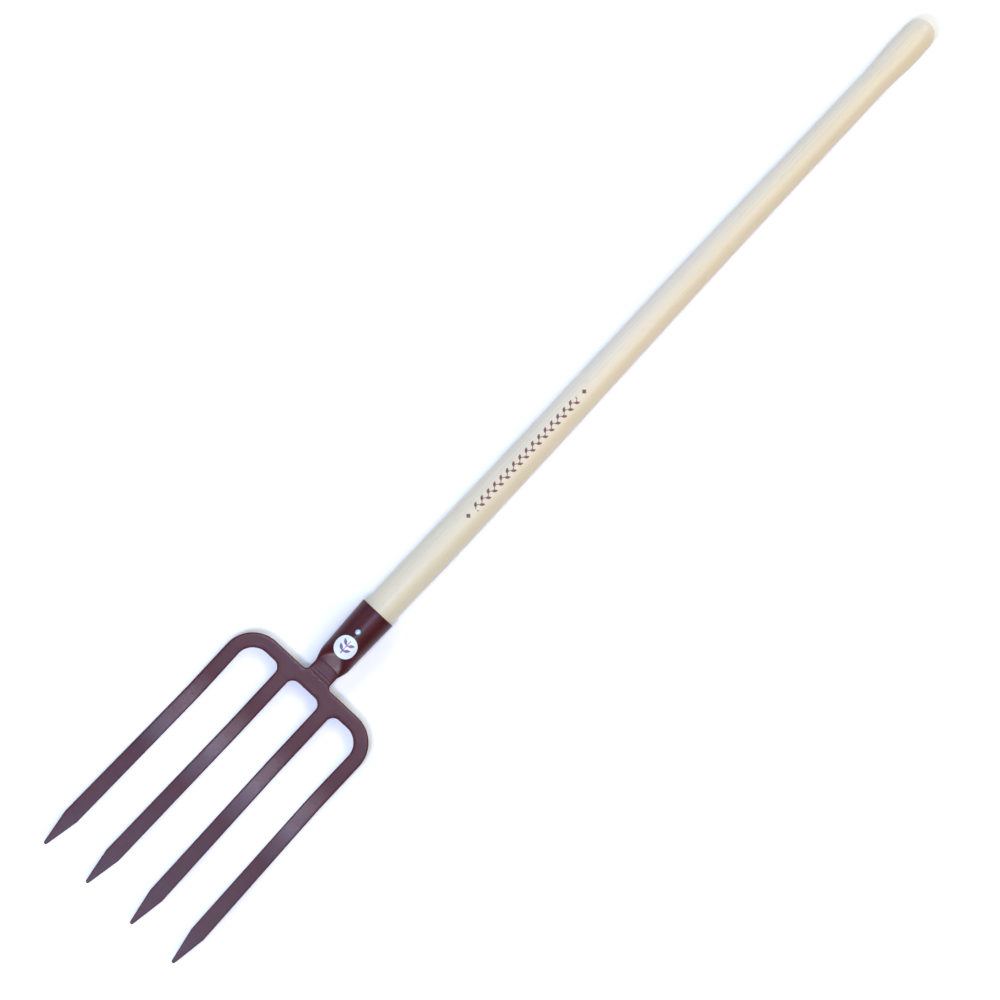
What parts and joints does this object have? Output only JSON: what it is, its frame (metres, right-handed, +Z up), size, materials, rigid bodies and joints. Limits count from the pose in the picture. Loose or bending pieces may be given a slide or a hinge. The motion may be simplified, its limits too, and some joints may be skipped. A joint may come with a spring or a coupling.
{
  "type": "digging fork",
  "caption": "Long-handled digging fork: flat forged tines on a rounded bar, a riveted socket and a straight turned wooden handle with a knob end.",
  "frame": {"origin": "on the ground, below the middle of the fork's length and width, as it lies on its back with its front face up", "axes": "+X along the handle from the points of the tines to the knob, +Y across the head, +Z up, out of the head's front face"},
  "size_m": [1.2499, 0.1966, 0.0469],
  "materials": {
    "head_paint": "satin plum paint with a fine speckle",
    "weld_paint": "satin plum paint over a weld bead",
    "socket_paint": "satin dark plum paint",
    "handle_wood": "pale fine-grained wood, sanded, with a thin satin varnish",
    "rivet_zinc": "bright zinc plate",
    "label_vinyl": "white printed vinyl, semi-gloss"
  },
  "bodies": {
    "root": {"fork_plate": "head_paint", "neck_weld_front": "weld_paint", "neck_weld_back": "weld_paint", "handle_socket": "socket_paint", "wooden_handle": "handle_wood", "socket_rivet": "rivet_zinc", "round_label": "label_vinyl"}
  },
  "joints": []
}
